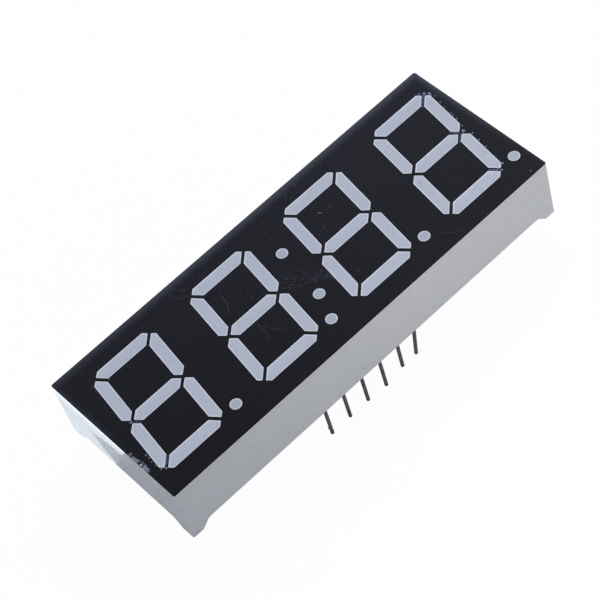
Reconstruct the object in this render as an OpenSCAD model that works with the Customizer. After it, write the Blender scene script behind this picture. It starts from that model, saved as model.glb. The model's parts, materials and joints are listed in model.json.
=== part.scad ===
// Four-digit seven-segment clock display module on twelve wire pins.
// A white reflector housing has one tapered light well for each lit mark: 28 segments, 4 decimal
// points and 2 colon dots. Its face is printed black around the wells. Each well is cast full of
// diffusing epoxy over its own LED chip. A circuit board behind the wells carries the chips and
// the pins, and a layer of epoxy seals the back.
// Frame: +X along the row of digits, +Y to the top of the digits, +Z out of the face. The origin
// is the centre of the pin pattern, on the plane that the corner feet stand on.

/* [Body] */
// Distance between the centres of neighbouring digits
digit_pitch = 12.7; // [11.8:0.1:16]
// Room left when modules stand end to end and keep that pitch
stack_gap = 0.6; // [0:0.1:0.9]
// Width of the body across the digits
body_w = 19; // [17.8:0.1:25]
// Height from the feet to the printed face
body_h = 8; // [6.6:0.1:12]
// Radius of the upright corner edges
corner_r = 0.2; // [0.05:0.05:0.5]
// Thickness of the side walls around the board
wall = 0.9; // [0.7:0.02:1.08]
// Thickness of the black print on the face
print_t = 0.1; // [0.04:0.01:0.2]

/* [Feet] */
// Height of the corner feet below the edges of the walls
foot_h = 1; // [0.7:0.05:1.2]
// Flat length of a foot along a long wall
foot_x = 1.3; // [1.2:0.05:3]
// Flat length of a foot along an end wall
foot_y = 1.65; // [1.4:0.05:3]
// Slope from a foot up to the wall's edge, in degrees
foot_ramp = 45; // [30:1:60]
// Radius where that slope runs out into the wall's edge
foot_r = 0.6; // [0.2:0.1:1.6]

/* [Digits] */
// Height of a digit
digit_h = 14.2; // [11:0.1:17.1]
// Width of a digit before it is slanted
digit_w = 8.14; // [6.8:0.02:9.6]
// Slant of the digits in degrees
slant = 8; // [0:0.5:11]
// Width of the upright strokes
stroke_v = 1.33; // [1.05:0.01:1.7]
// Width of the level strokes
stroke_h = 1.45; // [1.1:0.01:1.85]
// Gap between neighbouring segments
seg_gap = 0.37; // [0.2:0.01:0.5]
// Gap between the points of the upper and lower upright strokes
waist_gap = 0.4; // [0.3:0.01:0.6]
// Bevel across the outer corners of a digit
corner_cut = 1.13; // [0.6:0.01:1.36]
// Radius at the corners of a window
window_r = 0.08; // [0.03:0.01:0.12]

/* [Dots] */
// Diameter of the decimal points and colon dots
dot_d = 1.26; // [1.12:0.005:1.62]
// Distance from a decimal point's centre to the end of its digit's share of the face
point_inset = 0.8; // [0.7:0.01:1]
// Height of a decimal point's lower edge above the foot of its digit
point_lift = 0.11; // [0:0.01:0.3]
// Height of a colon dot's centre above or below the middle of the face
colon_rise = 3.25; // [2:0.05:4.5]

/* [Light wells] */
// How far the long sides of a well lean in towards its chip
side_draft = 0.2; // [0.05:0.01:0.25]
// How far the ends of a well lean in towards its chip
end_draft = 1; // [0.4:0.05:1.2]
// How far the wall of a dot's well leans in towards its chip
dot_draft = 0.2; // [0.05:0.01:0.3]

/* [Board] */
// Thickness of the circuit board
board_t = 1; // [0.8:0.05:1.6]
// Height of the board's back above the feet
board_back = 2.4; // [2.2:0.05:2.9]
// Gap between the board's edge and the walls
board_fit = 0.12; // [0.06:0.02:0.2]
// Depth of the back epoxy's surface inside the edges of the walls
epoxy_inset = 0.05; // [0.05:0.05:0.4]
// Radius of the collar of epoxy that has crept down each pin
collar_r = 0.25; // [0.1:0.05:0.4]
// Thickness of the copper pads
copper_t = 0.05; // [0.03:0.01:0.1]
// Diameter of the copper ring around a pin
ring_d = 1.5; // [1.4:0.05:1.8]
// Width of a copper track
track_w = 0.4; // [0.2:0.05:0.6]
// Least distance from the copper to the board's edge
copper_edge = 0.15; // [0.05:0.01:0.25]
// Diameter of the foot of a solder joint
solder_d = 1.2; // [1:0.05:1.4]
// Height of a solder joint
solder_h = 0.6; // [0.3:0.05:0.8]

/* [Chips] */
// Side of an LED chip
chip = 0.25; // [0.2:0.01:0.3]
// Side of the square copper pad under a chip
chip_pad = 0.32; // [0.3:0.01:0.36]
// Distance from a chip's centre to the centre of its wire's pad
wire_span = 0.4; // [0.34:0.01:0.44]
// Side of the square copper pad under a wire
wire_pad = 0.16; // [0.12:0.01:0.18]
// Diameter of a bond wire
wire_d = 0.05; // [0.03:0.01:0.08]

/* [Pins] */
// Distance between neighbouring pins in a row
pin_pitch = 2.54; // [2.1:0.01:3.1]
// Distance between the two rows of pins
pin_rows = 15.24; // [12.7:0.01:15.6]
// Diameter of a pin
pin_d = 0.4; // [0.35:0.01:0.6]
// Length of a pin below the feet
pin_l = 6.4; // [3:0.1:12]
// How much shorter than the others each of the first six pins was cut
cut_1 = 0.15; // [0:0.05:1]
cut_2 = 0.25; // [0:0.05:1]
cut_3 = 0.25; // [0:0.05:1]
cut_4 = 0; // [0:0.05:1]
cut_5 = 0.1; // [0:0.05:1]
cut_6 = 0.1; // [0:0.05:1]
// Diameter of the thicker shank that holds a pin in the board
shank_d = 0.8; // [0.65:0.01:0.96]
// Radius at the cut end of a pin
pin_tip_r = 0.12; // [0.05:0.01:0.15]
// Lean of the fifth pin in degrees
lean_5 = 3.4; // [0:0.1:6]
// The way the fifth pin leans, in degrees from +X
heading_5 = 70; // [0:1:359]
// Lean of the sixth pin in degrees
lean_6 = 5.6; // [0:0.1:10]
// The way the sixth pin leans, in degrees from +X
heading_6 = 142; // [0:1:359]
// Straight length of a leaning pin below the feet
bend_start = 0.5; // [0.3:0.1:1.5]
// Swelling of the wire where it is bent, as a share of its diameter
bend_swell = 0.03; // [0.02:0.01:0.06]

/* [Hidden] */
$fn = 48;
// Overshoot of a cutter past the face that it opens
over = 0.5;
digits = 4;
row_pins = 6;
letters = ["a", "b", "c", "d", "e", "f", "g"];
last_letter = len(letters) - 1;
// Steps in the arc at a window's corner
corner_steps = 2;
// Steps in the arc where the slope beside a foot runs out
ramp_steps = 6;

body_l = digits * digit_pitch - stack_gap;
print_back = body_h - print_t;
epoxy_back = foot_h + epoxy_inset;
board_front = board_back + board_t;
bay_l = body_l - 2 * wall;
bay_w = body_w - 2 * wall;
board_l = bay_l - 2 * board_fit;
board_w = bay_w - 2 * board_fit;

// A chip and its wire's pad, side by side about the middle of their well
pair_l = wire_span + (chip_pad + wire_pad) / 2;
chip_x = (chip_pad - pair_l) / 2;
wire_x = (pair_l - wire_pad) / 2;

// The outer corner of a digit, the inside corner of its strokes, and the length of the mitre
// line that joins them
half_w = digit_w / 2;
half_h = digit_h / 2;
inner_w = half_w - stroke_v;
inner_h = half_h - stroke_h;
mitre = norm([stroke_v, stroke_h]);
mitre_in = mitre * seg_gap / 2;
strokes = stroke_v + stroke_h;

// The bevel crosses the two edges of the mitre at these distances in from the outer corner
level_tip = (corner_cut * stroke_v + mitre_in) / strokes;
upright_tip = (corner_cut * stroke_v - mitre_in) / strokes;
// The waist: where the points of the upright strokes and of the middle stroke lie
waist_x = half_w - stroke_v / 2;
waist_y = waist_gap / 2;
shoulder_y = waist_y + stroke_v / 2;
middle_tip = waist_x + waist_y - seg_gap * sqrt(2);
middle_flat = middle_tip - stroke_h / 2;

// Outlines before slanting, anticlockwise. Edges 0 and 3 are the long sides.
top_stroke = [
    [half_w - corner_cut, half_h],
    [corner_cut - half_w, half_h],
    [level_tip - half_w, half_h - corner_cut + level_tip],
    [mitre_in / stroke_h - inner_w, inner_h],
    [inner_w - mitre_in / stroke_h, inner_h],
    [half_w - level_tip, half_h - corner_cut + level_tip]
];
right_stroke = [
    [half_w, shoulder_y],
    [half_w, half_h - corner_cut],
    [half_w - upright_tip, half_h - corner_cut + upright_tip],
    [inner_w, inner_h - mitre_in / stroke_v],
    [inner_w, shoulder_y],
    [waist_x, waist_y]
];
middle_stroke = [
    [middle_flat, stroke_h / 2],
    [-middle_flat, stroke_h / 2],
    [-middle_tip, 0],
    [-middle_flat, -stroke_h / 2],
    [middle_flat, -stroke_h / 2],
    [middle_tip, 0]
];
// For each letter: its outline, and the sides to mirror it to
strokes_by_letter = [
    [top_stroke, 1, 1],
    [right_stroke, 1, 1],
    [right_stroke, 1, -1],
    [top_stroke, 1, -1],
    [right_stroke, -1, -1],
    [right_stroke, -1, 1],
    [middle_stroke, 1, 1]
];
well_drafts = [side_draft, end_draft, end_draft, side_draft, end_draft, end_draft];

// Moves edge i of an anticlockwise outline in by drafts[i]
function inset(p, drafts) = [
    for (i = [0 : len(p) - 1])
        let (
            n = len(p),
            before = p[(i + n - 1) % n],
            after = p[(i + 1) % n],
            u = (p[i] - before) / norm(p[i] - before),
            v = (after - p[i]) / norm(after - p[i]),
            du = drafts[(i + n - 1) % n],
            dv = drafts[i],
            det = u[0] * v[1] - u[1] * v[0]
        )
        p[i] + (v * du - u * dv) / det
];

// Rounds each corner of an anticlockwise outline with an arc of radius r
function rounded(p, r) = [
    for (i = [0 : len(p) - 1])
        let (
            n = len(p),
            before = p[(i + n - 1) % n],
            after = p[(i + 1) % n],
            a_in = atan2(p[i][1] - before[1], p[i][0] - before[0]),
            a_out = atan2(after[1] - p[i][1], after[0] - p[i][0]),
            turn = (a_out - a_in + 360) % 360,
            u = [cos(a_in), sin(a_in)],
            start = p[i] - u * r * tan(turn / 2),
            centre = start + r * [-u[1], u[0]]
        )
        for (k = [0 : corner_steps])
            let (a = a_in - 90 + turn * k / corner_steps)
            centre + r * [cos(a), sin(a)]
];

// Mirrors an outline to side [sx, sy], keeping it anticlockwise
function to_side(p, sx, sy) =
    let (n = len(p))
    [for (i = [0 : n - 1]) let (q = p[sx * sy > 0 ? i : n - 1 - i]) [sx * q[0], sy * q[1]]];

function slanted(q) = [q[0] + q[1] * tan(slant), q[1]];

// The window of a letter's segment, and the smaller floor of its well, about the digit's centre
function window(s) =
    let (of = strokes_by_letter[s])
    [for (q = to_side(rounded(of[0], window_r), of[1], of[2])) slanted(q)];
function well_floor(s) =
    let (of = strokes_by_letter[s])
    [for (q = to_side(rounded(inset(of[0], well_drafts), window_r), of[1], of[2])) slanted(q)];

function digit_x(d) = (d - (digits - 1) / 2) * digit_pitch;

// The centre of a segment, of a decimal point and of a colon dot, on the face
function mean(p) = [for (k = [0, 1]) (min([for (q = p) q[k]]) + max([for (q = p) q[k]])) / 2];
function segment_at(d, s) = [digit_x(d), 0] + mean(window(s));
function point_at(d) =
    [digit_x(d), 0]
    + slanted([digit_pitch / 2 - point_inset, dot_d / 2 + point_lift - half_h]);
function colon_at(side) = slanted([0, side * colon_rise]);

dots = concat([for (d = [0 : digits - 1]) point_at(d)], [colon_at(1), colon_at(-1)]);
// Each light's place, and the way that its wire runs from its chip, in degrees from +X
function is_upright(s) = strokes_by_letter[s][0] == right_stroke;
function wire_way(s) = is_upright(s) ? 90 - slant : 0;
lights = concat(
    [for (d = [0 : digits - 1], s = [0 : last_letter]) [segment_at(d, s), wire_way(s)]],
    [for (at = dots) [at, 90]]
);

// Pins 1 to 6 run along the near row, and 7 to 12 back along the far row
function pin_at(p) =
    p < row_pins
    ? [(p - (row_pins - 1) / 2) * pin_pitch, -pin_rows / 2]
    : [((row_pins - 1) / 2 - (p - row_pins)) * pin_pitch, pin_rows / 2];
pins = [for (p = [0 : 2 * row_pins - 1]) pin_at(p)];
// How much shorter each pin was cut
cuts = [cut_1, cut_2, cut_3, cut_4, cut_5, cut_6];
function length_of(p) = p < row_pins ? pin_l - cuts[p] : pin_l;
// The lean of a pin, and the way it leans, in degrees from +X
function lean_of(p) = p == 4 ? lean_5 : p == 5 ? lean_6 : 0;
function heading_of(p) = p == 4 ? heading_5 : heading_6;

// A rectangle with true round corners
module round_rect(l, w, r) {
    square([l - 2 * r, w], center = true);
    square([l, w - 2 * r], center = true);
    for (x = [-1, 1], y = [-1, 1])
        translate([x * (l / 2 - r), y * (w / 2 - r)])
            circle(r);
}

// A solid through outlines of equal length, each at its own height
module lofted(rings, heights) {
    n = len(rings[0]);
    last = len(rings) - 1;
    polyhedron(
        points = [for (k = [0 : last], q = rings[k]) [q[0], q[1], heights[k]]],
        faces = concat(
            [[for (i = [0 : n - 1]) i]],
            [
                for (k = [0 : last - 1], i = [0 : n - 1])
                    let (j = (i + 1) % n)
                    [k * n + i, (k + 1) * n + i, (k + 1) * n + j, k * n + j]
            ],
            [[for (i = [0 : n - 1]) last * n + n - 1 - i]]
        )
    );
}

// The space of a segment's well. It runs past both ends by past, to cut the housing.
module segment_well(d, s, past) {
    mouth = window(s);
    bottom = well_floor(s);
    translate([digit_x(d), 0, 0])
        if (past > 0)
            lofted(
                [bottom, bottom, mouth, mouth],
                [board_front - past, board_front, print_back, body_h + past]
            );
        else
            lofted([bottom, mouth, mouth], [board_front, print_back, body_h]);
}

// The space of a dot's well
module dot_well(at, past) {
    translate([at[0], at[1], board_front])
        cylinder(h = print_back - board_front, d1 = dot_d - 2 * dot_draft, d2 = dot_d);
    translate([at[0], at[1], print_back])
        cylinder(h = print_t + past, d = dot_d);
    if (past > 0)
        translate([at[0], at[1], board_front - past])
            cylinder(h = past, d = dot_d - 2 * dot_draft);
}

// The space under a wall between two feet, seen from the side. Each side slopes up from the
// inner corner of a foot and runs out in an arc along the wall's edge.
module foot_gap(span, flat) {
    corner = span / 2 - flat;
    arc_x = corner - foot_h / tan(foot_ramp) - foot_r * tan(foot_ramp / 2);
    side = concat(
        [[corner, -over], [corner, 0]],
        [
            for (k = [ramp_steps : -1 : 0])
                let (a = foot_ramp * k / ramp_steps)
                [arc_x + foot_r * sin(a), foot_h - foot_r * (1 - cos(a))]
        ]
    );
    last = len(side) - 1;
    polygon(concat(side, [for (k = [last : -1 : 0]) [-side[k][0], side[k][1]]]));
}

module housing() {
    color("white")
        difference() {
            linear_extrude(print_back)
                round_rect(body_l, body_w, corner_r);
            translate([0, 0, -over])
                linear_extrude(board_front + over)
                    square([bay_l, bay_w], center = true);
            rotate([90, 0, 0])
                linear_extrude(body_w + 2 * over, center = true)
                    foot_gap(body_l, foot_x);
            rotate([90, 0, 90])
                linear_extrude(body_l + 2 * over, center = true)
                    foot_gap(body_w, foot_y);
            for (d = [0 : digits - 1], s = [0 : last_letter])
                segment_well(d, s, over);
            for (at = dots)
                dot_well(at, over);
        }
}

module face_print() {
    color([0.12, 0.12, 0.14])
        translate([0, 0, print_back])
            linear_extrude(print_t)
                difference() {
                    round_rect(body_l, body_w, corner_r);
                    for (d = [0 : digits - 1], s = [0 : last_letter])
                        translate([digit_x(d), 0])
                            polygon(window(s));
                    for (at = dots)
                        translate(at)
                            circle(d = dot_d);
                }
}

// Puts what it holds on the board's front, below the middle of a light's well
module at_light(light) {
    translate([light[0][0], light[0][1], board_front])
        rotate([0, 0, light[1]])
            children();
}

module pads_of_light() {
    translate([chip_x - chip_pad / 2, -chip_pad / 2, 0])
        cube([chip_pad, chip_pad, copper_t]);
    translate([wire_x - wire_pad / 2, -wire_pad / 2, 0])
        cube([wire_pad, wire_pad, copper_t]);
}

module chip_of_light() {
    translate([chip_x - chip / 2, -chip / 2, copper_t])
        cube(chip);
}

// Up from the chip's top, over in half a ring, and straight down to the wire's pad
module wire_of_light() {
    translate([(chip_x + wire_x) / 2, 0, copper_t + chip])
        rotate([90, 0, 0])
            rotate_extrude(angle = 180)
                translate([wire_span / 2, 0])
                    circle(d = wire_d);
    translate([wire_x, 0, copper_t])
        cylinder(h = chip, d = wire_d);
}

// Casts a well's epoxy around the light at its bottom
module cast_around(light) {
    color([0.72, 0.75, 0.82])
        difference() {
            children();
            at_light(light) {
                pads_of_light();
                chip_of_light();
                wire_of_light();
            }
        }
}

module segment(d, s) {
    cast_around(lights[len(letters) * d + s])
        segment_well(d, s, 0);
}

module dot(i) {
    cast_around(lights[len(letters) * digits + i])
        dot_well(dots[i], 0);
}

module circuit_board() {
    color([0.75, 0.7, 0.5])
        translate([0, 0, board_back])
            linear_extrude(board_t)
                difference() {
                    square([board_l, board_w], center = true);
                    for (at = pins)
                        translate(at)
                            circle(d = shank_d);
                }
}

module chip_pads() {
    color("goldenrod")
        for (light = lights)
            at_light(light)
                pads_of_light();
}

// A copper ring around each pin, with a short track in towards the middle of the board
module pin_pads() {
    color("goldenrod")
        translate([0, 0, board_back - copper_t])
            linear_extrude(copper_t)
                intersection() {
                    difference() {
                        for (at = pins)
                            translate(at) {
                                circle(d = ring_d);
                                translate([-track_w / 2, at[1] > 0 ? -2 * ring_d : 0])
                                    square([track_w, 2 * ring_d]);
                            }
                        for (at = pins)
                            translate(at)
                                circle(d = shank_d);
                    }
                    square([board_l - 2 * copper_edge, board_w - 2 * copper_edge], center = true);
                }
}

module solder_at(at) {
    translate([at[0], at[1], board_back - copper_t - solder_h])
        cylinder(h = solder_h, d1 = shank_d, d2 = solder_d);
}

module solder_joints() {
    color("silver")
        for (at = pins)
            difference() {
                solder_at(at);
                translate([at[0], at[1], epoxy_back])
                    cylinder(h = board_back - epoxy_back, d = shank_d);
            }
}

module led_chips() {
    color("orange")
        for (light = lights)
            at_light(light)
                chip_of_light();
}

module bond_wires() {
    color("gold")
        for (light = lights)
            at_light(light)
                wire_of_light();
}

// The free end of a pin, from z = 0 down to -length, with its cut end rounded
module pin_end(length) {
    rotate_extrude() {
        translate([0, pin_tip_r - length])
            square([pin_d / 2, length - pin_tip_r]);
        translate([0, -length])
            square([pin_d / 2 - pin_tip_r, length]);
        intersection() {
            translate([pin_d / 2 - pin_tip_r, pin_tip_r - length])
                circle(pin_tip_r);
            translate([0, -length])
                square([pin_d, pin_tip_r]);
        }
    }
}

// A pin that leaves the epoxy straight and is bent over below the feet
module leaning_pin(length, lean, heading) {
    translate([0, 0, -bend_start]) {
        cylinder(h = epoxy_back + bend_start, d = pin_d);
        sphere(d = pin_d * (1 + bend_swell));
        rotate([0, 0, heading])
            rotate([0, -lean, 0])
                pin_end(length - bend_start);
    }
}

module pin(p) {
    color([0.45, 0.45, 0.47])
        translate([pins[p][0], pins[p][1], 0]) {
            translate([0, 0, epoxy_back])
                cylinder(h = board_front - epoxy_back, d = shank_d);
            if (lean_of(p) > 0)
                leaning_pin(length_of(p), lean_of(p), heading_of(p));
            else
                translate([0, 0, epoxy_back])
                    pin_end(length_of(p) + epoxy_back);
        }
}

// The collar of epoxy around a pin, hollow-curved from the pin to the flat of the epoxy
module epoxy_collar() {
    rotate_extrude()
        translate([pin_d / 2, -collar_r])
            difference() {
                square(collar_r);
                translate([collar_r, 0])
                    circle(collar_r);
            }
}

module back_epoxy() {
    color([0.85, 0.86, 0.84]) {
        for (at = pins)
            translate([at[0], at[1], epoxy_back])
                epoxy_collar();
        difference() {
            translate([0, 0, epoxy_back])
                linear_extrude(board_front - epoxy_back)
                    square([bay_l, bay_w], center = true);
            translate([0, 0, board_back])
                linear_extrude(board_t + over)
                    square([board_l, board_w], center = true);
            for (at = pins) {
                translate([at[0], at[1], epoxy_back - over])
                    cylinder(h = board_front - epoxy_back + over, d = shank_d);
                solder_at(at);
            }
            pin_pads();
        }
    }
}

housing();
face_print();
for (d = [0 : digits - 1], s = [0 : last_letter])
    segment(d, s);
for (d = [0 : digits - 1])
    dot(d);
dot(digits);  // colon_dot_upper
dot(digits + 1);  // colon_dot_lower
circuit_board();
chip_pads();
pin_pads();
solder_joints();
led_chips();
bond_wires();
for (p = [0 : 2 * row_pins - 1])
    pin(p);
back_epoxy();
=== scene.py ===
"""The looks of a four-digit seven-segment display module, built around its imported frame.

The CAD nodes keep their places, and all but the diffusers keep their shapes. This script gives
each one a procedural material with the small marks that wear and moulding have left on it,
rebuilds the diffusers with the sunk skin of cast epoxy, and sets the studio and the camera.
Lengths with a name in capitals are in millimetres; Blender's own are in metres.
"""
import json
import math

import bmesh
import bpy
from mathutils import Matrix, Vector, geometry


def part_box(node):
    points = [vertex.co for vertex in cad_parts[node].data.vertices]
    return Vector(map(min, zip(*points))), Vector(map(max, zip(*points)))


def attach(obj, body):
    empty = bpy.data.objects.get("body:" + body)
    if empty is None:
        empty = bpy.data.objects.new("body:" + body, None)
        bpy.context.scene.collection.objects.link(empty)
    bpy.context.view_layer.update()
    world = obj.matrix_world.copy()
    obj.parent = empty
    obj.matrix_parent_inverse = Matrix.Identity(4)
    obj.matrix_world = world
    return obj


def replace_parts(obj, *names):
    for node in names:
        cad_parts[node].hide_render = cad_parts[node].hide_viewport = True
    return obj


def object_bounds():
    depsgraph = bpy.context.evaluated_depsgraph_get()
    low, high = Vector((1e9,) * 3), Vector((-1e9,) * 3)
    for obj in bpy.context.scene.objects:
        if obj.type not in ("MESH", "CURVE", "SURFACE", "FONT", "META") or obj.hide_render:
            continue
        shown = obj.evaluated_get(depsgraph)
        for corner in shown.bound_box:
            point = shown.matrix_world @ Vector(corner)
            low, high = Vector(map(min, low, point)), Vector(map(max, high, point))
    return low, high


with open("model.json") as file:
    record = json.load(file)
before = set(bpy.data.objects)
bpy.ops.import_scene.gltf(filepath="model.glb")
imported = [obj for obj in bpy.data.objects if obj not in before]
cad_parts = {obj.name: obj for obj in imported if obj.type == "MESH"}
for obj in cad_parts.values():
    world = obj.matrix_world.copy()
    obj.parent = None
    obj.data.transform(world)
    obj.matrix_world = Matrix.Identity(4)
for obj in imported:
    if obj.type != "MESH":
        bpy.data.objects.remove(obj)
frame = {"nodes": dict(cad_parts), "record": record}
cad_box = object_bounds()
nodes = frame["nodes"]
MM = 0.001

# Places on the body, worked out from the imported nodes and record
print_low, print_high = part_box("face_print")
FACE_X = print_high.x / MM
FACE_Y = print_high.y / MM
FACE_Z = print_high.z / MM
PRINT_BACK = print_low.z / MM
FLOOR_Z = cad_box[0].z / MM
PIN_R = frame["record"]["mounts"][0]["dims"]["stud_r_mm"]


# ---------------------------------------------------------------- colours and shader graphs


def linear(channel):
    """One 8-bit sRGB channel as linear light."""
    c = channel / 255
    return c / 12.92 if c <= 0.04045 else ((c + 0.055) / 1.055) ** 2.4


def colour(red, green, blue):
    """An 8-bit sRGB colour as a shader takes it."""
    return linear(red), linear(green), linear(blue), 1.0


PLASTIC = colour(206, 208, 213)
DUST_GREY = colour(170, 175, 190)


class Graph:
    """A material's nodes, made and joined by short calls. Lengths in it are in millimetres."""

    def __init__(self, name):
        self.material = bpy.data.materials.new(name)
        self.material.use_nodes = True
        self.tree = self.material.node_tree
        self.tree.nodes.clear()
        self.out = self.node("OutputMaterial")
        where = self.node("TexCoord").outputs["Object"]
        self.place = self.vector("SCALE", where, scale=1 / MM)
        split = self.node("SeparateXYZ", {"Vector": self.place})
        self.x, self.y, self.z = split.outputs

    def join(self, value, socket):
        """Links a socket to another, or sets its value."""
        if isinstance(value, bpy.types.NodeSocket):
            self.tree.links.new(value, socket)
        else:
            socket.default_value = value

    def node(self, kind, inputs=None, **settings):
        """A node of this kind, with its inputs joined and its settings made."""
        made = self.tree.nodes.new("ShaderNode" + kind)
        for key, value in settings.items():
            setattr(made, key, value)
        for key, value in (inputs or {}).items():
            self.join(value, made.inputs[key])
        return made

    def math(self, operation, *values):
        """The outcome of a sum with single numbers."""
        return self.node("Math", dict(enumerate(values)), operation=operation).outputs[0]

    def vector(self, operation, a, b=None, scale=None):
        """The outcome of a sum with vectors: a vector, or its length."""
        inputs = {0: a}
        if b is not None:
            inputs[1] = b
        if scale is not None:
            inputs["Scale"] = scale
        made = self.node("VectorMath", inputs, operation=operation)
        return made.outputs["Value" if operation == "LENGTH" else "Vector"]

    def ramp(self, value, low, high, start=0.0, end=1.0):
        """start where value is at low, end where it is at high, and a soft step between."""
        made = self.node(
            "MapRange",
            {"Value": value, "From Min": low, "From Max": high, "To Min": start, "To Max": end},
            interpolation_type="SMOOTHSTEP",
        )
        return made.outputs["Result"]

    def noise(self, per_mm, detail=2.0, roughness=0.5, stretch=None, shift=0.0):
        """Noise from 0 to 1 with per_mm cells to a millimetre."""
        at = self.place
        if stretch:
            at = self.vector("MULTIPLY", at, stretch)
        if shift:
            at = self.vector("ADD", at, (shift, shift, shift))
        made = self.node(
            "TexNoise",
            {"Vector": at, "Scale": per_mm, "Detail": detail, "Roughness": roughness},
        )
        return made.outputs["Fac"]

    def mix(self, factor, a, b):
        """Colour a where the factor is 0, and colour b where it is 1."""
        made = self.node("Mix", data_type="RGBA")
        for place, value in ((0, factor), (6, a), (7, b)):
            self.join(value, made.inputs[place])
        return made.outputs[2]

    def shade(self, base, amount):
        """A colour made lighter or darker by a factor near 1."""
        if isinstance(base, tuple):
            base = base[:3]
        return self.vector("SCALE", base, scale=amount)

    def bump(self, height, strength, depth, normal=None):
        """Bump from a height of 0 to 1, depth in millimetres."""
        inputs = {"Height": height, "Strength": strength, "Distance": depth * MM}
        if normal is not None:
            inputs["Normal"] = normal
        return self.node("Bump", inputs).outputs["Normal"]

    def soft_edges(self, radius):
        """Normals that turn the corner at an edge over this radius."""
        return self.node("Bevel", {"Radius": radius * MM}, samples=8).outputs["Normal"]

    def surface(self, **inputs):
        """The material's one shader. Each key is a socket's name with spaces as underscores."""
        named = {key.replace("_", " "): value for key, value in inputs.items()}
        shader = self.node("BsdfPrincipled", named)
        self.tree.links.new(shader.outputs["BSDF"], self.out.inputs["Surface"])
        return self.material

    # Small marks. Each gives a mask from 0 to 1.

    def patch(self, at, centre, half, turn=0.0):
        """A soft-edged ellipse with these half widths, turned by this angle in radians.

        It goes right through the piece, because its third half width has no end to speak of.
        """
        place = self.node(
            "Mapping",
            {"Vector": at, "Location": (*centre, 0.0), "Rotation": (0.0, 0.0, turn),
             "Scale": (*half, 1e6)},
            vector_type="TEXTURE",
        )
        return self.ramp(self.vector("LENGTH", place.outputs[0]), 1.2, 0.6)

    def spots(self, at, marks):
        """Round marks, each given as x, y and radius."""
        return self.most(self.patch(at, (x, y), (r, r)) for x, y, r in marks)

    def dash(self, at, width, start, end):
        """A thin straight mark between two points."""
        start, end = Vector(start), Vector(end)
        along = end - start
        half = (along.length / 2 + width / 2, width / 2)
        return self.patch(at, (start + end) / 2, half, math.atan2(along.y, along.x))

    def strokes(self, at, lines):
        """Thin marks along lines of points, each given as its width and its points."""
        return self.most(
            self.dash(at, width, start, end)
            for width, *points in lines
            for start, end in zip(points, points[1:])
        )

    def most(self, masks):
        """The greatest of some masks. It takes them one by one, which keeps the shader small."""
        out = None
        for mask in masks:
            out = mask if out is None else self.math("MAXIMUM", out, mask)
        return out


# ---------------------------------------------------------------- wear
# Places on the face in millimetres: x to the right and y up, from the middle.

# Blobs of epoxy that have crept out of the wells, as x, y and radius
CREPT_SPOTS = [
    (-23.92, -3.93, 0.10), (-23.92, -4.40, 0.09), (-24.05, -4.93, 0.07), (-24.07, -5.50, 0.06),
    (-23.93, -6.25, 0.09), (-23.52, -6.55, 0.12), (-22.50, 0.00, 0.15), (-20.70, 5.50, 0.06),
    (23.35, 7.00, 0.11), (23.72, 6.62, 0.18), (24.08, 6.22, 0.18), (24.02, 5.95, 0.14),
    (24.20, 5.50, 0.09), (24.00, 4.50, 0.09), (23.80, 3.70, 0.08), (23.70, 2.60, 0.09),
    (23.60, 2.20, 0.08), (23.50, 1.60, 0.09), (23.20, 0.50, 0.10), (22.80, -0.05, 0.20),
    (23.20, -1.00, 0.10), (23.00, -2.10, 0.09), (22.80, -3.30, 0.08), (22.35, -6.10, 0.13),
    (21.70, -6.60, 0.13), (23.40, -8.95, 0.08),
]
# Epoxy crept along the bars between neighbouring segments, as width and points
CREPT_BARS = [
    (0.20, (-23.4, -6.3), (-22.5, -5.6)),
    (0.14, (-22.5, 0.0), (-22.0, 0.7)),
    (0.14, (-22.5, 0.0), (-21.8, -0.8)),
    (0.20, (23.7, 6.7), (22.25, 5.4)),
    (0.18, (21.75, 0.8), (22.4, 0.0)),
    (0.18, (22.4, -0.1), (21.5, -0.9)),
    (0.20, (20.8, -5.6), (21.75, -6.5)),
]
# Dust and pin-pricks in the print
DUST = [
    (-5.30, 3.10, 0.07), (-6.00, 2.00, 0.07), (-5.15, 1.60, 0.07), (-7.10, 0.80, 0.10),
    (-4.50, -4.80, 0.06), (7.10, 8.60, 0.09), (17.25, 5.40, 0.06), (16.25, -0.95, 0.06),
    (15.50, -5.70, 0.08), (14.90, -6.10, 0.06), (24.25, -5.90, 0.07), (3.75, -1.00, 0.07),
    (3.90, -4.30, 0.07),
]
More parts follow.
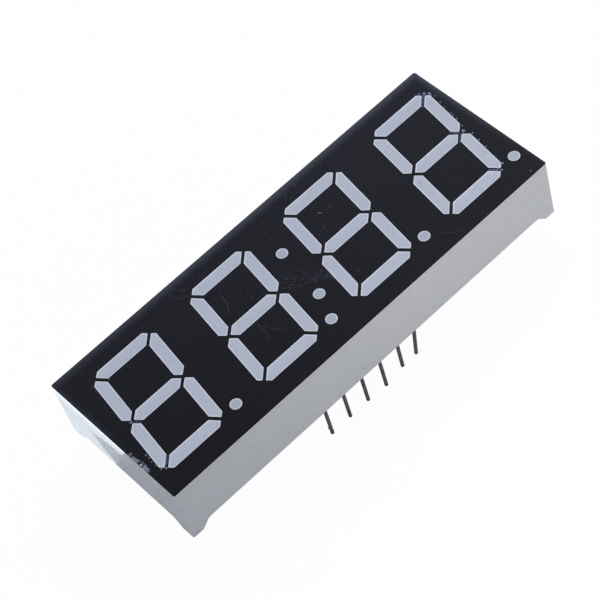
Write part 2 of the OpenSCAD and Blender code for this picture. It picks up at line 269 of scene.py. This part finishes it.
# Rubbed places and light scratches in the print
SCUFFS = [
    (0.14, (-8.8, 7.5), (-9.4, 8.2), (-9.8, 9.0)),
    (0.14, (-10.3, 8.4), (-10.3, 8.0), (-9.9, 7.3), (-9.0, 6.6)),
    (0.16, (-22.4, 6.2), (-22.5, 5.2)),
    (0.20, (-6.8, 4.6), (-7.2, 3.1), (-7.9, 1.8)),
    (0.14, (-4.7, 1.05), (-3.9, 1.2)),
    (0.16, (-6.8, -0.95), (-6.9, -1.9), (-7.0, -2.6), (-7.5, -3.45)),
    (0.14, (-6.5, -1.7), (-6.4, -2.2)),
    (0.14, (-6.3, -2.5), (-5.6, -3.8)),
    (0.16, (-2.1, 1.8), (-2.0, 0.9)),
    (0.16, (-2.5, 0.1), (-2.1, -0.2), (-1.6, -0.8), (-0.7, -1.2), (-0.15, -1.3)),
    (0.14, (-1.6, 0.8), (-0.65, -0.2)),
    (0.16, (-1.4, 2.1), (-1.0, 2.3)),
    (0.22, (1.8, -1.9), (1.7, -4.0)),
    (0.09, (6.8, 3.25), (7.3, 3.6), (7.75, 4.0)),
    (0.09, (4.2, 1.9), (5.0, 2.15), (5.75, 2.5)),
    (0.09, (3.5, -1.7), (3.25, -3.4), (3.0, -5.2)),
    (0.12, (5.2, 8.05), (5.8, 8.6)),
    (0.12, (12.0, -6.7), (12.5, -7.5), (13.1, -8.3), (14.1, -8.7)),
]
# Deeper scratches, which show brighter
SCRATCHES = [
    (0.07, (6.22, 4.08), (6.42, 3.8)),
]


# ---------------------------------------------------------------- materials


def housing_plastic():
    """White moulded plastic: smooth and glossy, faintly mottled, with a highlight painted along
    its edges.
    """
    g = Graph("housing_plastic")
    cloud = g.ramp(g.noise(0.22, 2.0), 0.3, 0.7, 0.985, 1.012)
    # painted highlight: the wall is painted lighter in a band just under the print and up its
    # vertical corners, where the rounded edges catch the light
    under_print = g.ramp(g.z, PRINT_BACK - 0.16, PRINT_BACK - 0.04)
    corner = g.math(
        "MULTIPLY",
        g.ramp(g.math("ABSOLUTE", g.x), FACE_X - 0.14, FACE_X - 0.03),
        g.ramp(g.math("ABSOLUTE", g.y), FACE_Y - 0.14, FACE_Y - 0.03),
    )
    painted_edge_highlight = g.math("MULTIPLY", g.math("MAXIMUM", under_print, corner), 0.8)
    base = g.mix(painted_edge_highlight, PLASTIC, colour(234, 231, 228))
    base = g.shade(base, cloud)
    # a hair-thin scratch on the near wall and a nick on the end wall
    on_near = g.ramp(g.y, 0.1 - FACE_Y, 0.05 - FACE_Y)
    near = g.node("CombineXYZ", {"X": g.x, "Y": g.z}).outputs[0]
    hair = g.strokes(near, [(0.09, (-2.1, 3.3), (-1.95, 2.5), (-1.5, 1.9), (-1.3, 1.8))])
    on_end = g.ramp(g.x, 0.1 - FACE_X, 0.05 - FACE_X)
    end = g.node("CombineXYZ", {"X": g.y, "Y": g.z}).outputs[0]
    nick = g.strokes(end, [(0.10, (-1.3, 7.6), (-1.5, 7.3))])
    hurt = g.math("ADD", g.math("MULTIPLY", hair, on_near), g.math("MULTIPLY", nick, on_end))
    base = g.mix(g.math("MULTIPLY", hurt, 0.55), base, colour(120, 120, 124))
    rough = g.ramp(g.noise(0.4, 2.0), 0.3, 0.7, 0.22, 0.28)
    rounded = g.soft_edges(0.06)
    return g.surface(
        Base_Color=base, Roughness=rough, Normal=rounded, IOR=1.5,
        Coat_Weight=1.0, Coat_Roughness=0.03, Coat_Normal=rounded,
    )


def black_print():
    """Satin black print with a painted sheen, crept epoxy, dust, scuffs, scratches and a chipped
    end edge.
    """
    g = Graph("black_print")
    # bent and torn are places on the face, shifted by noise so that marks get ragged outlines
    ragged = g.node("TexNoise", {"Vector": g.place, "Scale": 4.0, "Detail": 3.0})
    wobble = g.vector("SUBTRACT", ragged.outputs["Color"], (0.5, 0.5, 0.5))
    face = g.vector("MULTIPLY", g.place, (1.0, 1.0, 0.0))
    bent = g.vector("ADD", face, g.vector("MULTIPLY", wobble, (0.18, 0.18, 0.0)))
    torn = g.vector("ADD", face, g.vector("MULTIPLY", wobble, (0.6, 0.6, 0.0)))
    broken = g.ramp(g.noise(6.0, 3.0, 0.7), 0.42, 0.6)

    # painted sheen: the ink is painted lighter to the top right, as if it caught more light there,
    # and lighter still along three edges, from thinner ink and painted sheen, each edge given as
    # the coordinate, where it starts and ends, and how strong it is
    over_x = g.ramp(g.x, -FACE_X, 20.0)
    over_y = g.ramp(g.y, -FACE_Y, FACE_Y)
    weak = g.math("MULTIPLY", g.math("ADD", over_x, over_y), 0.5)
    edges = (
        (g.y, FACE_Y - 1.5, FACE_Y, g.ramp(g.x, -FACE_X, 0.0, 0.5, 0.85)),
        (g.x, FACE_X - 1.1, FACE_X, g.ramp(g.y, -FACE_Y, FACE_Y, 0.1, 0.9)),
        (g.x, 1.0 - FACE_X, -FACE_X, g.ramp(g.y, -3.0, 3.0, 0.0, 0.25)),
    )
    thin = g.most(
        g.math("MULTIPLY", g.math("POWER", g.ramp(along, start, end), 2.0), share)
        for along, start, end, share in edges
    )
    grain = g.noise(6.0, 3.0, 0.7)
    # painted sheen: the ink is mixed lighter to the top right and along the edges
    ink = g.mix(weak, colour(10, 11, 20), colour(28, 29, 39))
    ink = g.shade(ink, g.ramp(grain, 0.3, 0.7, 0.25, 1.75))
    ink = g.mix(thin, ink, colour(70, 73, 87))

    scuffed = g.math("MULTIPLY", g.strokes(bent, SCUFFS), broken)
    patch = g.patch(bent, (0.9, -1.7), (1.1, 0.9), -0.5)
    streaks = g.ramp(g.noise(2.2, 4.0, 0.7, stretch=(1.0, 3.0, 1.0)), 0.5, 0.62)
    scuffed = g.math("MAXIMUM", scuffed, g.math("MULTIPLY", patch, streaks))
    haze = g.patch(bent, (-0.9, 0.2), (1.9, 1.5))
    grit = g.ramp(g.noise(3.5, 4.0, 0.75, shift=17.0), 0.52, 0.74)
    scuffed = g.math("MAXIMUM", scuffed, g.math("MULTIPLY", haze, grit))
    pricks = g.spots(face, DUST)
    scratched = g.strokes(face, SCRATCHES)
    crept = g.math(
        "MAXIMUM", g.spots(bent, CREPT_SPOTS),
        g.math("MULTIPLY", g.strokes(bent, CREPT_BARS), g.math("MULTIPLY", broken, 0.8)),
    )
    base = g.mix(g.math("MULTIPLY", scuffed, 0.11), ink, colour(150, 158, 190))
    base = g.mix(g.math("MULTIPLY", pricks, 0.12), base, DUST_GREY)
    base = g.mix(g.math("MULTIPLY", scratched, 0.6), base, colour(200, 200, 206))
    base = g.mix(g.math("MULTIPLY", crept, 0.6), base, colour(150, 165, 205))
    specks = g.ramp(g.noise(5.5, 1.0, shift=31.0), 0.74, 0.8)
    base = g.mix(g.math("MULTIPLY", specks, 0.07), base, DUST_GREY)

    # where the end edge is chipped, rough plastic shows through what is left of the ink
    chip = g.math(
        "MAXIMUM",
        g.patch(torn, (-24.95, -4.35), (0.36, 1.4), 0.06),
        g.patch(torn, (-24.95, -2.75), (0.25, 0.3)),
    )
    lump = g.noise(2.6, 3.0, 0.5, shift=7.0)
    bare = g.math("MULTIPLY", g.ramp(chip, 0.2, 0.6), g.ramp(lump, 0.30, 0.46, 0.35, 1.0))
    # painted highlights: two small glints painted near-white on the chipped plastic
    painted_glint = g.spots(bent, [(-24.95, -4.4, 0.09), (-24.76, -5.2, 0.06)])
    rough_plastic = g.mix(g.ramp(lump, 0.44, 0.6), colour(54, 60, 78), colour(126, 134, 154))
    base = g.mix(bare, base, rough_plastic)
    base = g.mix(g.math("MULTIPLY", painted_glint, 0.9), base, colour(236, 238, 245))
    # the ink is a thin skin: below it the side of the print shows bare plastic
    base = g.mix(g.ramp(g.z, FACE_Z - 0.05, FACE_Z - 0.03, 1.0, 0.0), base, PLASTIC)

    raised = g.math("MULTIPLY", chip, lump)
    normal = g.bump(g.noise(9.0, 3.0, 0.6), 0.2, 0.01, g.soft_edges(0.05))
    normal = g.bump(raised, 0.6, 0.08, normal)
    rough = g.ramp(g.noise(3.0), 0.3, 0.7, 0.38, 0.5)
    return g.surface(
        Base_Color=base, Roughness=rough, Normal=normal, IOR=1.5, Specular_IOR_Level=0.07
    )


def diffuser_epoxy(name, body):
    """Milky cast epoxy, flush with the print, with a highlight painted round its rim and painted
    light that grows upwards and to the right.
    """
    g = Graph(name)
    cloud = g.ramp(g.noise(0.5, 2.0), 0.3, 0.7, 0.985, 1.015)
    # painted highlight round the rim, and painted light that grows upwards and to the right
    rim = g.node("Attribute", attribute_name="rim").outputs["Fac"]
    painted_light = g.node("Attribute", attribute_name="painted_light").outputs["Fac"]
    base = g.mix(g.math("MULTIPLY", rim, 0.8), body, colour(220, 223, 235))
    base = g.shade(base, g.math("MULTIPLY", cloud, painted_light))
    # a short hair cast into the last digit
    hair = g.strokes(g.place, [(0.09, (15.33, -1.1), (15.42, -1.4), (15.3, -1.6))])
    base = g.mix(g.math("MULTIPLY", hair, 0.8), base, colour(120, 126, 140))
    rough = g.ramp(g.noise(2.0), 0.3, 0.7, 0.26, 0.34)
    normal = g.bump(g.noise(1.2, 1.0), 0.06, 0.01)
    return g.surface(
        Base_Color=base, Roughness=rough, Normal=normal, IOR=1.5, Specular_IOR_Level=0.4
    )


def tinned_wire():
    """Dull dip-tinned wire: dark grey, faintly streaked along its length, with small stains."""
    g = Graph("tinned_wire")
    streak = g.noise(14.0, 3.0, 0.6, stretch=(1.0, 1.0, 0.12))
    stain = g.ramp(g.noise(1.6, 3.0), 0.45, 0.7)
    base = g.mix(streak, colour(112, 113, 116), colour(152, 153, 157))
    base = g.mix(g.math("MULTIPLY", stain, 0.5), base, colour(60, 58, 56))
    rough = g.ramp(g.noise(5.0, 2.0), 0.3, 0.7, 0.3, 0.48)
    normal = g.bump(streak, 0.3, 0.012)
    return g.surface(Base_Color=base, Metallic=0.75, Roughness=rough, Normal=normal)


def back_epoxy():
    """Pale milky potting epoxy with flow marks and a few tiny bubbles under its skin."""
    g = Graph("back_epoxy")
    cloud = g.noise(0.28, 4.0, 0.55)
    cells = g.node("TexVoronoi", {"Vector": g.place, "Scale": 0.9}).outputs["Distance"]
    bubble = g.ramp(cells, 0.1, 0.06)
    base = g.mix(g.ramp(cloud, 0.3, 0.7), colour(196, 199, 194), colour(214, 216, 211))
    base = g.mix(g.math("MULTIPLY", bubble, 0.35), base, colour(172, 174, 168))
    normal = g.bump(g.noise(0.5, 2.0), 0.5, 0.05)
    rough = g.ramp(g.noise(1.0), 0.3, 0.7, 0.12, 0.22)
    return g.surface(Base_Color=base, Roughness=rough, Normal=normal, IOR=1.52)


def board_laminate():
    """Glass laminate: yellowish, with the weave of the cloth just showing."""
    g = Graph("board_laminate")
    weave = g.math(
        "MULTIPLY",
        g.math("SINE", g.math("MULTIPLY", g.x, 2 * math.pi / 0.5)),
        g.math("SINE", g.math("MULTIPLY", g.y, 2 * math.pi / 0.5)),
    )
    cloth = g.ramp(weave, -1.0, 1.0, 0.93, 1.05)
    base = g.shade(colour(198, 190, 150), cloth)
    return g.surface(Base_Color=base, Roughness=0.45, Normal=g.bump(weave, 0.2, 0.01))


def metal(name, dark, light, low, high, per_mm):
    """A plain metal whose colour and polish wander a little."""
    g = Graph(name)
    wander = g.noise(per_mm, 3.0)
    rough = g.ramp(g.noise(per_mm * 2, 2.0), 0.3, 0.7, low, high)
    return g.surface(
        Base_Color=g.mix(wander, dark, light), Metallic=1.0, Roughness=rough,
        Normal=g.bump(wander, 0.15, 0.01),
    )


def led_crystal():
    """Cut crystal of an LED chip, amber and faintly uneven."""
    g = Graph("led_crystal")
    base = g.mix(g.noise(9.0), colour(214, 140, 60), colour(236, 176, 92))
    return g.surface(Base_Color=base, Roughness=0.2, IOR=2.2)


MATERIALS = {
    "housing_plastic": housing_plastic(),
    "black_print": black_print(),
    "diffuser_epoxy": diffuser_epoxy("diffuser_epoxy", colour(176, 183, 202)),
    "board_laminate": board_laminate(),
    "copper": metal("copper", colour(186, 110, 74), colour(216, 142, 98), 0.25, 0.4, 2.0),
    "solder": metal("solder", colour(178, 178, 180), colour(212, 212, 212), 0.15, 0.3, 1.5),
    "led_crystal": led_crystal(),
    "gold_wire": metal("gold_wire", colour(222, 170, 84), colour(244, 204, 122), 0.2, 0.3, 6.0),
    "tinned_wire": tinned_wire(),
    "back_epoxy": back_epoxy(),
}
# The small round diffusers gather less light than the segments
DOT_EPOXY = diffuser_epoxy("diffuser_epoxy_dot", colour(163, 172, 188))
SLOTS = {part["node"]: part["material_slot"] for part in frame["record"]["subparts"]}


def finish_of(name):
    """The material of a CAD node."""
    if name.startswith(("decimal_point", "colon_dot")):
        return DOT_EPOXY
    return MATERIALS[SLOTS[name]]


def dress_nodes():
    """Puts each CAD node's own material in its slots."""
    for name, piece in nodes.items():
        finish = finish_of(name)
        if not piece.material_slots:
            piece.data.materials.append(finish)
        for slot in piece.material_slots:
            slot.material = finish


# ---------------------------------------------------------------- pieces built here


def ride_piece(name, mesh):
    """A new piece of the object, on its one body."""
    piece = bpy.data.objects.new(name, mesh)
    bpy.context.scene.collection.objects.link(piece)
    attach(piece, "root")
    return piece


# A step shorter than this belongs to a rounded corner, and not to a diffuser's side
SHORTEST_SIDE = 0.3


def drawn_in(outline, width):
    """A convex outline drawn in by a width: its new corners, and which one each point goes to.

    Short steps round a corner all go to the one corner; a round outline keeps every point.
    """
    count = len(outline)
    steps = [outline[(i + 1) % count] - outline[i] for i in range(count)]
    sides = [i for i in range(count) if steps[i].length > SHORTEST_SIDE * MM] or list(range(count))
    corners, goes_to = [], {}
    for here, side in enumerate(sides):
        after = sides[(here + 1) % len(sides)]
        ends = []
        for edge in (side, after):
            inward = Vector((-steps[edge].y, steps[edge].x)).normalized() * width
            start = outline[edge] + inward
            ends += [start, start + steps[edge]]
        corners.append(geometry.intersect_line_line(*[end.to_3d() for end in ends])[0])
        point = side
        while point != after:
            point = (point + 1) % count
            goes_to[point] = here
    return corners, goes_to


# Each step in from a diffuser's edge: how far in it ends, how deep and with what rim mark, the
# strength of the highlight painted there
RIM_STEPS = [(0.05, 0.004, 0.8), (0.12, 0.010, 0.2), (0.24, 0.013, 0.0)]
# Painted light: how much lighter a level segment is painted upwards, and any diffuser to the
# right, for a millimetre
PAINTED_LIGHT_UP = 0.06
PAINTED_LIGHT_RIGHT = 0.001


def cast_diffuser(name):
    """A diffuser whose cast epoxy has sunk a little inside its rim, as it does when it sets.

    Two marks are left for the material: the rim, from 1 at the well's edge to 0 inside, where a
    highlight is painted, and a factor near 1 for painted light, greater at the top of a level
    segment and further right.
    """
    slope = PAINTED_LIGHT_UP if name.endswith(("_a", "_d", "_g")) else 0.0
    shape = bmesh.new()
    shape.from_mesh(nodes[name].data)
    rim = shape.verts.layers.float.new("rim")
    painted_light = shape.verts.layers.float.new("painted_light")
    bmesh.ops.remove_doubles(shape, verts=shape.verts, dist=0.0001 * MM)
    front = [
        face for face in shape.faces
        if face.normal.z > 0.99 and face.calc_center_median().z > (FACE_Z - 0.01) * MM
    ]
    top = bmesh.ops.dissolve_faces(shape, faces=front)["region"][0]
    ring = list(top.verts)
    shape.faces.remove(top)
    outline = [corner.co.to_2d() for corner in ring]
    middle = sum((place.y for place in outline), 0.0) / len(outline)
    for corner in shape.verts:
        corner[rim] = 1.0
    goes_to = None
    for width, depth, mark in RIM_STEPS:
        corners, first = drawn_in(outline, width * MM)
        inner = []
        for place in corners:
            corner = shape.verts.new((place.x, place.y, FACE_Z * MM - depth * MM))
            corner[rim] = mark
            inner.append(corner)
        goes_to = first if goes_to is None else dict(enumerate(range(len(inner))))
        for i, corner in enumerate(ring):
            j = (i + 1) % len(ring)
            loop = [corner, ring[j], inner[goes_to[j]], inner[goes_to[i]]]
            shape.faces.new(dict.fromkeys(loop)).smooth = True
        ring = inner
    shape.faces.new(ring)
    # painted light: lighter at the top of a level segment and to the right
    for corner in shape.verts:
        corner[painted_light] = 1.0 + (slope * (corner.co.y - middle) + PAINTED_LIGHT_RIGHT * corner.co.x) / MM
    mesh = bpy.data.meshes.new(name + "_cast")
    shape.to_mesh(mesh)
    shape.free()
    mesh.materials.append(finish_of(name))
    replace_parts(ride_piece(name + "_cast", mesh), name)


def cast_diffusers():
    """Rebuilds every segment, point and dot."""
    for name in nodes:
        if name.startswith(("digit", "decimal_point", "colon_dot")):
            cast_diffuser(name)


# The drop on the first pin: its radius, and how far above the pin's tip it is
BURR_R = 0.11
BURR_RISE = 1.2


def add_burr():
    """A small drop of solder that has set on the outer side of the first pin, near its tip."""
    pin_low, pin_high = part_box("pin_1")
    side = (pin_low + pin_high) / 2 - Vector((PIN_R * MM, 0.0, 0.0))
    shape = bmesh.new()
    bmesh.ops.create_icosphere(shape, subdivisions=3, radius=BURR_R * MM)
    for corner in shape.verts:
        # a little flatter across the pin, and drawn out upwards, where it ran down from
        corner.co.x *= 0.9
        corner.co.z *= 2.0 if corner.co.z > 0 else 0.8
        corner.co += Vector((side.x, side.y, pin_low.z + BURR_RISE * MM))
    for face in shape.faces:
        face.smooth = True
    mesh = bpy.data.meshes.new("pin_1_burr")
    shape.to_mesh(mesh)
    shape.free()
    mesh.materials.append(MATERIALS["tinned_wire"])
    ride_piece("pin_1_burr", mesh)


# ---------------------------------------------------------------- studio


def floor_material():
    """White paper. The camera sees it as a plain white ground with a faint shadow.

    In a reflection it is lit paper with its whole shadow near the object, and that white
    ground further off.
    """
    g = Graph("floor_paper")
    path = g.node("LightPath")
    mirrored = g.math(
        "MAXIMUM", path.outputs["Is Glossy Ray"], path.outputs["Is Transmission Ray"]
    )
    reach = g.vector("LENGTH", g.vector("MULTIPLY", g.place, (1.0, 1.0, 0.0)))
    far = g.ramp(reach, 45.0, 110.0)
    share = g.math(
        "MAXIMUM",
        g.math("MULTIPLY", path.outputs["Is Camera Ray"], 0.96),
        g.math("MULTIPLY", mirrored, far),
    )
    tint = g.mix(path.outputs["Is Camera Ray"], (0.66, 0.67, 0.70, 1.0), (0.97, 0.97, 0.98, 1.0))
    paper = g.node("BsdfDiffuse", {"Color": tint})
    glow = g.node("Emission", {"Color": (1.0, 1.0, 1.0, 1.0), "Strength": 1.0})
    both = g.node("MixShader", {"Fac": share})
    g.tree.links.new(paper.outputs[0], both.inputs[1])
    g.tree.links.new(glow.outputs[0], both.inputs[2])
    g.tree.links.new(both.outputs[0], g.out.inputs["Surface"])
    return g.material


def make_floor(half):
    """A round sheet of paper under the pins' tips."""
    steps = 64
    ring = [
        (half * math.cos(2 * math.pi * i / steps), half * math.sin(2 * math.pi * i / steps), 0.0)
        for i in range(steps)
    ]
    mesh = bpy.data.meshes.new("floor")
    mesh.from_pydata(ring, [], [list(range(steps))])
    floor = bpy.data.objects.new("floor", mesh)
    floor.location.z = FLOOR_Z * MM
    mesh.materials.append(floor_material())
    bpy.context.scene.collection.objects.link(floor)


def make_world():
    """White where it is seen or mirrored, and a plain soft sky for the light it gives."""
    world = bpy.data.worlds.new("studio")
    bpy.context.scene.world = world
    world.use_nodes = True
    tree = world.node_tree
    tree.nodes.clear()
    out = tree.nodes.new("ShaderNodeOutputWorld")
    path = tree.nodes.new("ShaderNodeLightPath")
    seen = tree.nodes.new("ShaderNodeMath")
    seen.operation = "MAXIMUM"
    mirrored = tree.nodes.new("ShaderNodeMath")
    mirrored.operation = "MAXIMUM"
    tree.links.new(path.outputs["Is Glossy Ray"], mirrored.inputs[0])
    tree.links.new(path.outputs["Is Transmission Ray"], mirrored.inputs[1])
    tree.links.new(path.outputs["Is Camera Ray"], seen.inputs[0])
    tree.links.new(mirrored.outputs[0], seen.inputs[1])
    sky = tree.nodes.new("ShaderNodeBackground")
    sky.inputs["Color"].default_value = (0.95, 0.97, 1.0, 1.0)
    sky.inputs["Strength"].default_value = 0.293
    white = tree.nodes.new("ShaderNodeBackground")
    white.inputs["Strength"].default_value = 1.0
    both = tree.nodes.new("ShaderNodeMixShader")
    tree.links.new(seen.outputs[0], both.inputs[0])
    tree.links.new(sky.outputs[0], both.inputs[1])
    tree.links.new(white.outputs[0], both.inputs[2])
    tree.links.new(both.outputs[0], out.inputs["Surface"])


def aim(obj, eye, target):
    """Stands an object at eye, looking at target, both in millimetres."""
    obj.location = Vector(eye) * MM
    obj.rotation_mode = "QUATERNION"
    obj.rotation_quaternion = (Vector(target) - Vector(eye)).to_track_quat("-Z", "Y")


def add_lamp(name, eye, target, size, watts, tint=(1.0, 1.0, 1.0), seen=True):
    """A rectangular lamp at eye that shines towards target, its size in millimetres."""
    lamp = bpy.data.lights.new(name, "AREA")
    lamp.shape = "RECTANGLE"
    lamp.size = size[0] * MM
    lamp.size_y = size[1] * MM
    lamp.energy = watts
    lamp.color = tint
    obj = bpy.data.objects.new(name, lamp)
    obj.visible_camera = obj.visible_glossy = seen
    aim(obj, eye, target)
    bpy.context.scene.collection.objects.link(obj)


def add_fill(name, eye, target, side, watts, tint):
    """A weak square lamp that nothing mirrors."""
    add_lamp(name, eye, target, (side, side), watts, tint, seen=False)


def make_lamps():
    """A hard key from the right and a little behind, soft light above, and weak low fills."""
    add_lamp("key", (300, 110, 430), (0, 0, 0), (14, 14), 1.0)
    add_lamp("overhead", (40, 100, 420), (0, 0, 0), (320, 320), 0.45)
    add_fill("near_fill", (12, -48, 16), (10, -9, 3), 14, 0.0027, (1.0, 0.98, 0.95))
    add_fill("right_fill", (90, -70, 35), (24, -9, 3), 50, 0.015, (1.0, 0.98, 0.96))
    add_fill("end_fill", (-130, 50, 45), (-25, 0, 3), 80, 0.039, (0.72, 0.86, 1.0))


def add_card(name, outline, height, strength, tint):
    """A glowing sheet just over the paper that nothing but a reflection shows.

    Its strength is a number, or a function of its graph that gives a socket.
    """
    mesh = bpy.data.meshes.new(name)
    level = (FLOOR_Z + height) * MM
    mesh.from_pydata([(x * MM, y * MM, level) for x, y in outline], [], [range(len(outline))])
    g = Graph(name)
    if callable(strength):
        strength = strength(g)
    glow = g.node("Emission", {"Color": (*tint, 1.0), "Strength": strength})
    g.tree.links.new(glow.outputs[0], g.out.inputs["Surface"])
    mesh.materials.append(g.material)
    card = bpy.data.objects.new(name, mesh)
    bpy.context.scene.collection.objects.link(card)
    card.visible_camera = card.visible_diffuse = card.visible_transmission = False
    card.visible_shadow = card.visible_volume_scatter = False


def glare_strength(g):
    """Strongest further out, weakest half way, a little stronger again near the wall.

    A narrow band in it lights the rim of the wall, just under the print.
    """
    rim_start = g.ramp(g.x, -28.7, -28.4, 1.28, 2.2)
    rim_end = g.ramp(g.x, -28.03, -27.90, 2.2, 1.0)
    rim = g.math("MINIMUM", rim_start, rim_end)
    outer = g.ramp(g.x, -27.95, -27.45, 1.28, 1.0)
    inner = g.ramp(g.x, -27.45, -26.7, 1.0, 1.13)
    return g.most((rim, outer, inner))


def make_glare():
    """The strongest light on the paper, behind the end wall, with a dimmer notch in it, a painted
    shadow on the paper as the wall mirrors it.
    """
    bright = [
        (-80, 7.9), (-27.7, 7.35), (-27.55, 10.3), (-27.35, 11.9), (-27.0, 9.9), (-26.7, 7.05),
        (-25.15, 6.65), (-25.15, 70), (-80, 70),
    ]
    add_card("glare", bright, 0.05, glare_strength, (0.85, 0.915, 1.0))
    # painted shadow: a dimmer card where a shadow falls on the mirrored paper
    painted_shadow_notch = [(-28.3, 7.5), (-25.15, 6.65), (-25.15, 12.5), (-28.3, 12.5)]
    add_card("glare_notch", painted_shadow_notch, 0.03, 0.38, (0.84, 0.92, 1.0))


def make_camera(target, distance, azimuth, elevation, roll, lens, shift):
    """A camera that looks at target from a distance, in millimetres and degrees.

    Azimuth 0 looks along +Y. The roll turns the picture, and shift slides it right and down.
    """
    a, e, r = (math.radians(angle) for angle in (azimuth, elevation, roll))
    back = Vector((math.sin(a) * math.cos(e), -math.cos(a) * math.cos(e), math.sin(e)))
    level = Vector((0.0, 0.0, 1.0)).cross(back).normalized()
    upright = back.cross(level)
    right = level * math.cos(r) + upright * math.sin(r)
    up = upright * math.cos(r) - level * math.sin(r)
    data = bpy.data.cameras.new("camera")
    data.lens = lens
    data.sensor_width = 36.0
    data.shift_x = -shift
    data.shift_y = shift
    data.clip_start = 0.01
    data.clip_end = 10.0
    camera = bpy.data.objects.new("camera", data)
    place = Matrix((right, up, back)).transposed().to_4x4()
    place.translation = (Vector(target) + back * distance) * MM
    camera.matrix_world = place
    bpy.context.scene.collection.objects.link(camera)
    bpy.context.scene.camera = camera


dress_nodes()
cast_diffusers()
add_burr()
make_floor(1.5)
make_world()
make_lamps()
make_glare()
make_camera(
    target=(-2.2, -2.4, 8.0), distance=221.3, azimuth=-27.0, elevation=53.5, roll=-19.2,
    lens=135.9, shift=0.00083,
)
bpy.context.scene.view_settings.view_transform = "Standard"
